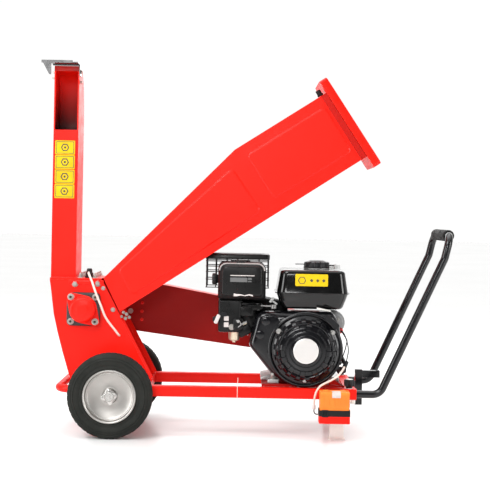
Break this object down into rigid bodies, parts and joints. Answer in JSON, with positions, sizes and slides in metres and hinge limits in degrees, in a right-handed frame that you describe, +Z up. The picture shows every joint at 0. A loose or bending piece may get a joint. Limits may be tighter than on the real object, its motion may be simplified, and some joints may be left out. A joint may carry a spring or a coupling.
{
  "type": "wood chipper",
  "caption": "Petrol wood chipper on two wheels, with an inclined feed hopper, an upright discharge chute, a belt-driven drum rotor and a push handle.",
  "frame": {"origin": "on the floor, under the middle of the bounding box", "axes": "+Z up; +X from the discharge chute towards the push handle; -Y the recoil-starter side"},
  "size_m": [1.181, 0.464, 1.055],
  "materials": {
    "red_paint": "gloss powder coat",
    "dark_red_paint": "gloss powder coat",
    "black_paint": "gloss",
    "black_plastic": "satin moulded",
    "gloss_black_plastic": "gloss moulded",
    "tyre_rubber": "matte",
    "black_rubber": "matte",
    "bright_steel": "satin turned",
    "zinc_plate": "pressed, zinc plated",
    "cast_iron": "as cast, painted",
    "cast_aluminium": "as cast",
    "orange_plastic": "satin moulded",
    "white_plastic": "satin"
  },
  "bodies": {
    "frame": {"near_rail": "red_paint", "far_rail": "red_paint", "bumper_loop": "red_paint", "housing_subframe": "red_paint", "rear_crossmember": "red_paint", "engine_base_plate": "dark_red_paint", "near_leg": "zinc_plate", "far_leg": "zinc_plate", "tow_hitch": "black_paint", "handle_tube": "black_paint", "handle_grip": "black_rubber", "axle": "bright_steel", "housing_near_plate": "red_paint", "housing_far_plate": "red_paint", "housing_band": "red_paint", "near_bearing": "black_paint", "far_bearing": "black_paint", "bearing_cap": "red_paint", "chute": "red_paint", "hopper_body": "red_paint", "hopper_rim": "red_paint", "belt_guard_back": "dark_red_paint", "belt_guard_cover": "red_paint", "drive_belt": "black_rubber", "crankcase": "cast_aluminium", "cylinder_head": "cast_aluminium", "blower_housing": "gloss_black_plastic", "recoil_cover": "gloss_black_plastic", "fuel_tank": "gloss_black_plastic", "air_cleaner": "black_plastic", "carburettor": "black_plastic", "muffler": "cast_iron", "muffler_guard": "black_paint", "starter_motor": "cast_iron", "battery": "orange_plastic", "battery_strap": "black_rubber", "safety_switch": "black_plastic", "safety_lead": "white_plastic", "battery_lead": "white_plastic"},
    "near_wheel": {"near_tyre": "tyre_rubber", "near_wheel_disc": "zinc_plate"},
    "far_wheel": {"far_tyre": "tyre_rubber", "far_wheel_disc": "zinc_plate"},
    "rotor": {"rotor_shaft": "bright_steel", "rotor_drum": "cast_iron", "knife_a": "bright_steel", "knife_b": "bright_steel", "rotor_pulley": "cast_iron"},
    "crank": {"crankshaft": "bright_steel", "flywheel": "cast_aluminium", "engine_pulley": "cast_iron"},
    "flap": {"deflector_flap": "black_paint"},
    "flap_nut": {"deflector_wing_nut": "zinc_plate"},
    "near_knob": {"near_star_knob": "black_plastic"},
    "far_knob": {"far_star_knob": "black_plastic"},
    "tank_cap": {"fuel_cap": "black_plastic"},
    "cleaner_knob": {"air_cleaner_knob": "black_plastic"},
    "choke": {"choke_lever": "black_plastic"},
    "throttle": {"throttle_lever": "bright_steel"},
    "pull_grip": {"recoil_grip": "black_plastic"}
  },
  "joints": [
    {"name": "near_wheel_spin", "type": "hinge", "parent": "frame", "child": "near_wheel", "pos_m": [-0.37, -0.202, 0.118], "axis": [0, 1, 0], "continuous": true},
    {"name": "far_wheel_spin", "type": "hinge", "parent": "frame", "child": "far_wheel", "pos_m": [-0.37, 0.202, 0.118], "axis": [0, 1, 0], "continuous": true},
    {"name": "rotor_spin", "type": "hinge", "parent": "frame", "child": "rotor", "pos_m": [-0.463, 0, 0.347], "axis": [0, 1, 0], "continuous": true},
    {"name": "crank_spin", "type": "hinge", "parent": "frame", "child": "crank", "pos_m": [0.171, 0, 0.249], "axis": [0, 1, 0], "continuous": true},
    {"name": "flap_tilt", "type": "hinge", "parent": "frame", "child": "flap", "pos_m": [-0.526, -0.066, 1.049], "axis": [1, 0, 0], "range_deg": [0, 55]},
    {"name": "flap_nut_turn", "type": "hinge", "parent": "frame", "child": "flap_nut", "pos_m": [-0.4871, -0.046, 1.03], "axis": [1, 0, 0], "continuous": true},
    {"name": "near_knob_turn", "type": "hinge", "parent": "frame", "child": "near_knob", "pos_m": [0.296, -0.15, 0.15], "axis": [0, 0, 1], "continuous": true},
    {"name": "far_knob_turn", "type": "hinge", "parent": "frame", "child": "far_knob", "pos_m": [0.296, 0.15, 0.15], "axis": [0, 0, 1], "continuous": true},
    {"name": "fuel_cap_turn", "type": "hinge", "parent": "frame", "child": "tank_cap", "pos_m": [0.204, -0.06, 0.48], "axis": [0, 0, 1], "range_deg": [0, 90]},
    {"name": "cleaner_knob_turn", "type": "hinge", "parent": "frame", "child": "cleaner_knob", "pos_m": [-0.0868, -0.111, 0.442], "axis": [1, 0, 0], "continuous": true},
    {"name": "choke_turn", "type": "hinge", "parent": "frame", "child": "choke", "pos_m": [-0.058, -0.1403, 0.344], "axis": [0, 1, 0], "range_deg": [0, 40]},
    {"name": "throttle_turn", "type": "hinge", "parent": "frame", "child": "throttle", "pos_m": [0.036, -0.12, 0.368], "axis": [0, 0, -1], "range_deg": [0, 40]},
    {"name": "recoil_pull", "type": "slide", "parent": "frame", "child": "pull_grip", "axis": [0.6, -0.45, 0.6614], "range_m": [0, 0.5], "stiffness_N_per_m": 8, "springref_m": -0.12}
  ],
  "couplings": [
    {"joint": "crank_spin", "follows": "rotor_spin", "ratio": 1.5}
  ]
}
